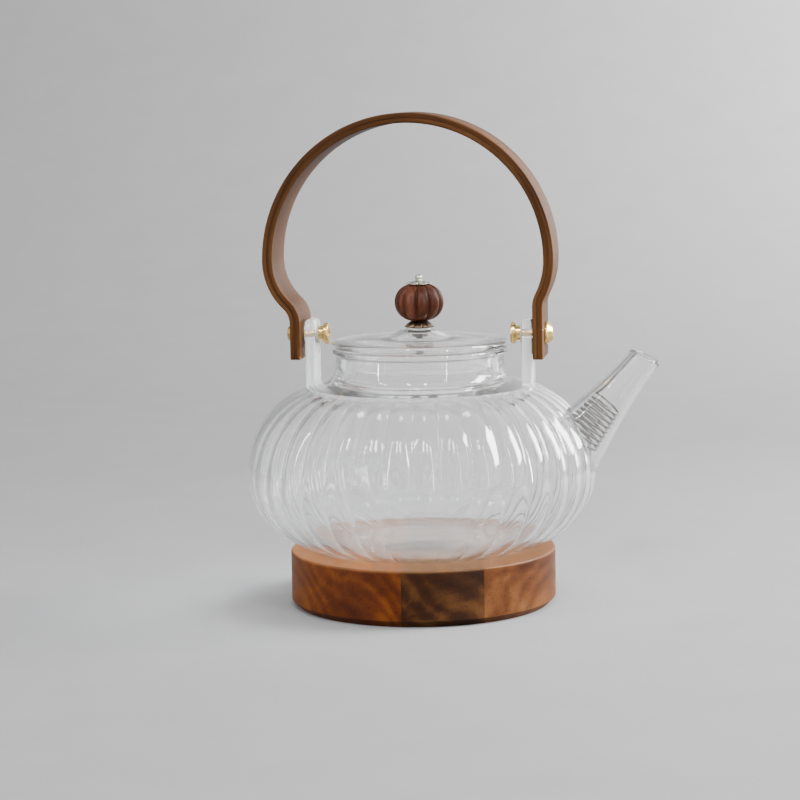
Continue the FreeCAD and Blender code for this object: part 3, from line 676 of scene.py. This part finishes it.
# ---------------------------------------------------------------- the strainer
def strainer():
    """Springy wire coiled in a cone, with a straight tail up to a small loop."""
    turns, steps_per_turn = 9, 28
    start, end, wide, narrow = 8.0, 26.5, 8.3, 5.9
    places = []
    for step in range(turns * steps_per_turn + 1):
        share = step / (turns * steps_per_turn)
        angle = 2 * math.pi * turns * (share - 1) + math.pi
        radius = wide + (narrow - wide) * share
        places.append(Vector((radius * math.cos(angle), radius * math.sin(angle), start + (end - start) * share)))
    places.append(Vector((-5.5, 0, end + 1.2)))
    places.append(Vector((-5.0, 0, end + 3.0)))
    loop_radius, loop_centre = 1.1, 47.1
    for step in range(14):
        angle = 2 * math.pi * step / 15
        places.append(Vector((-3.9, loop_radius * math.sin(angle), loop_centre - loop_radius * math.cos(angle))))
    curve = bpy.data.curves.new("strainer_wire", "CURVE")
    curve.dimensions = "3D"
    curve.bevel_depth = WIRE_RADIUS * MM
    curve.bevel_resolution = 3
    curve.use_fill_caps = True
    spline = curve.splines.new("POLY")
    spline.points.add(len(places) - 1)
    for target, place in zip(spline.points, places):
        target.co = (*(SPOUT_FRAME @ place * MM), 1)
    path = bpy.data.objects.new("strainer_path", curve)
    bpy.context.collection.objects.link(path)
    mesh = bpy.data.meshes.new_from_object(path.evaluated_get(bpy.context.evaluated_depsgraph_get()))
    bpy.data.objects.remove(path)
    made = bpy.data.objects.new("strainer_wire", mesh)
    bpy.context.collection.objects.link(made)
    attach(made, "strainer")
    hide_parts("strainer_coil")
    return made


# ---------------------------------------------------------------- materials on pieces
def wear(target, finish):
    """Gives a piece or a CAD node its finish."""
    target.data.materials.clear()
    target.data.materials.append(finish)


clear_glass = glass_material("blown_glass", (0.998, 0.999, 0.998), 0.25, 0.012)
pressed_glass = glass_material("pressed_glass", (0.998, 0.997, 0.988), 0.3, 0.018)
worked_glass = glass_material("worked_glass", (0.998, 0.999, 0.998), 0.8, 0.09)
brass = metal("polished_brass", (0.50, 0.33, 0.09), (0.74, 0.53, 0.20), 0.14, 0.30, 120.0)
dark_brass = metal("blackened_brass", (0.035, 0.025, 0.018), (0.16, 0.11, 0.07), 0.30, 0.50, 500.0, 0.3)
pewter = metal("worn_pewter", (0.22, 0.22, 0.17), (0.55, 0.54, 0.46), 0.28, 0.48, 500.0, 0.3)
steel = metal("drawn_wire", (0.045, 0.040, 0.035), (0.13, 0.12, 0.11), 0.26, 0.42, 700.0)
silicone = silicone_material()
walnut = handle_walnut()
dark_walnut = bead_walnut()

bowl = glass_bowl()
spout = glass_spout(bowl)
wear(bowl, clear_glass)
wear(spout, clear_glass)
wear(glass_lid(), pressed_glass)
bead, dark_cap, pale_cap, finial = knob()
wear(bead, dark_walnut)
wear(dark_cap, dark_brass)
wear(pale_cap, pewter)
wear(finial, pewter)
wear(bent_ply("handle_outer_ply_bent", "handle_outer_ply", 0.0, PLY - 0.03), walnut)
wear(bent_ply("handle_inner_ply_bent", "handle_inner_ply", PLY + 0.03, 2 * PLY), walnut)
wear(strainer(), steel)

CAD_FINISHES = {
    "lug": worked_glass,
    "pivot_bolt": brass,
    "pivot_nut": brass,
    "inner_washer": silicone,
    "outer_washer": silicone,
    "lid_washer": silicone,
    "knob_screw": steel,
    "lid_nut": steel,
    "stand_stave_left": acacia("acacia_left", (-0.085, -0.045), [
        (0.02601, 0.00462, 0.00035), (0.0578, 0.01214, 0.00081), (0.1156, 0.03352, 0.00318)], 1100.0, 3.0),
    "stand_stave_middle": acacia("acacia_middle", (0.050, 0.070), [
        (0.00925, 0.0026, 0.00052), (0.02081, 0.00607, 0.0011), (0.06358, 0.02428, 0.00462)], 800.0, -2.0),
    "stand_stave_right": acacia("acacia_right", (0.115, -0.020), [
        (0.02659, 0.00636, 0.00116), (0.0578, 0.01734, 0.00347), (0.10404, 0.0393, 0.0104)], 950.0, 5.0),
}
for node_name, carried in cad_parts.items():
    for start, finish in CAD_FINISHES.items():
        if node_name.startswith(start):
            for slot_place in carried.material_slots:
                slot_place.material = finish

# ---------------------------------------------------------------- floor, light and camera
def backdrop():
    """A seamless pale sweep: a flat floor that curves up far behind the object."""
    width, front, back, rise, bend = 3.0, -1.6, 0.6, 2.6, 1.3
    section = [(front, 0.0), (back, 0.0)]
    for step in range(1, 33):
        angle = math.radians(90 * step / 32)
        section.append((back + bend * math.sin(angle), bend * (1 - math.cos(angle))))
    section.append((back + bend, rise))
    points = [Vector((side * width, along, up)) / MM for along, up in section for side in (-1, 1)]
    faces = [(2 * number, 2 * number + 1, 2 * number + 3, 2 * number + 2)
             for number in range(len(section) - 1)]
    mesh = bpy.data.meshes.new("sweep")
    mesh.from_pydata([tuple(point * MM) for point in points], [], faces)
    mesh.polygons.foreach_set("use_smooth", [True] * len(mesh.polygons))
    made = bpy.data.objects.new("sweep", mesh)
    bpy.context.collection.objects.link(made)
    finish, tree, shader = material("paper_sweep")
    tone = noise(tree, object_place(tree), 30.0, 3.0)
    tree.links.new(ramp(tree, tone, [(0.3, (0.160, 0.159, 0.162)), (0.7, (0.169, 0.168, 0.171))]),
                   shader.inputs["Base Color"])
    shader.inputs["Roughness"].default_value = 0.8
    shader.inputs["Specular IOR Level"].default_value = 0.2
    mesh.materials.append(finish)


def softbox(name, place, target, width, height, power, colour=(1, 1, 1)):
    """A rectangular lamp that faces a point."""
    lamp = bpy.data.lights.new(name, "AREA")
    lamp.shape = "RECTANGLE"
    lamp.size = width
    lamp.size_y = height
    lamp.energy = power
    lamp.color = colour
    made = bpy.data.objects.new(name, lamp)
    made.location = place
    made.rotation_mode = "QUATERNION"
    made.rotation_quaternion = (Vector(target) - Vector(place)).to_track_quat("-Z", "Y")
    made.visible_camera = False
    bpy.context.collection.objects.link(made)


backdrop()
AIM = (0, 0, 0.06)
# name, place, what it faces, width, height and power
LAMPS = [
    ("window_left", (-0.22, -1.05, 1.35), AIM, 0.07, 0.40, 10.0),
    ("window_right", (0.30, -1.05, 1.35), AIM, 0.07, 0.40, 10.0),
    ("strip_left", (-0.95, -0.80, 0.75), (0, 0, 0.50), 0.02, 1.40, 16.0),
    ("strip_right", (0.85, -0.90, 0.75), (0, 0, 0.50), 0.02, 1.40, 16.0),
    ("ceiling_lamp", (-0.10, 0.12, 1.90), AIM, 0.25, 0.25, 5.0),
    ("side_window", (0.80, 0.22, 0.50), AIM, 0.4, 0.5, 50.0),
    ("sweep_light", (1.00, 1.00, 0.60), (0.70, 1.80, 0.30), 0.4, 0.8, 175.0),
]
for lamp_values in LAMPS:
    softbox(*lamp_values)

world = bpy.data.worlds.new("pale_room")
world.use_nodes = True
background = world.node_tree.nodes["Background"]
background.inputs["Color"].default_value = (0.93, 0.94, 0.96, 1)
background.inputs["Strength"].default_value = 1.45
bpy.context.scene.world = world

CAMERA_PLACE = Vector((139.87, -956.99, 204.84)) * MM
CAMERA_AIM = Vector((-8.16, -1.19, 80.92)) * MM
CAMERA_ROLL = -1.026
forward = (CAMERA_AIM - CAMERA_PLACE).normalized()
level = forward.cross(Z_AXIS).normalized()
upright = level.cross(forward)
roll = math.radians(CAMERA_ROLL)
camera_x = level * math.cos(roll) + upright * math.sin(roll)
camera_y = upright * math.cos(roll) - level * math.sin(roll)
lens = bpy.data.cameras.new("camera")
lens.sensor_width = 36.0
lens.lens = 110.5
lens.clip_start = 0.05
camera = bpy.data.objects.new("camera", lens)
turn = Matrix((camera_x, camera_y, -forward)).transposed().to_4x4()
camera.matrix_world = Matrix.Translation(CAMERA_PLACE) @ turn
bpy.context.collection.objects.link(camera)
bpy.context.scene.camera = camera
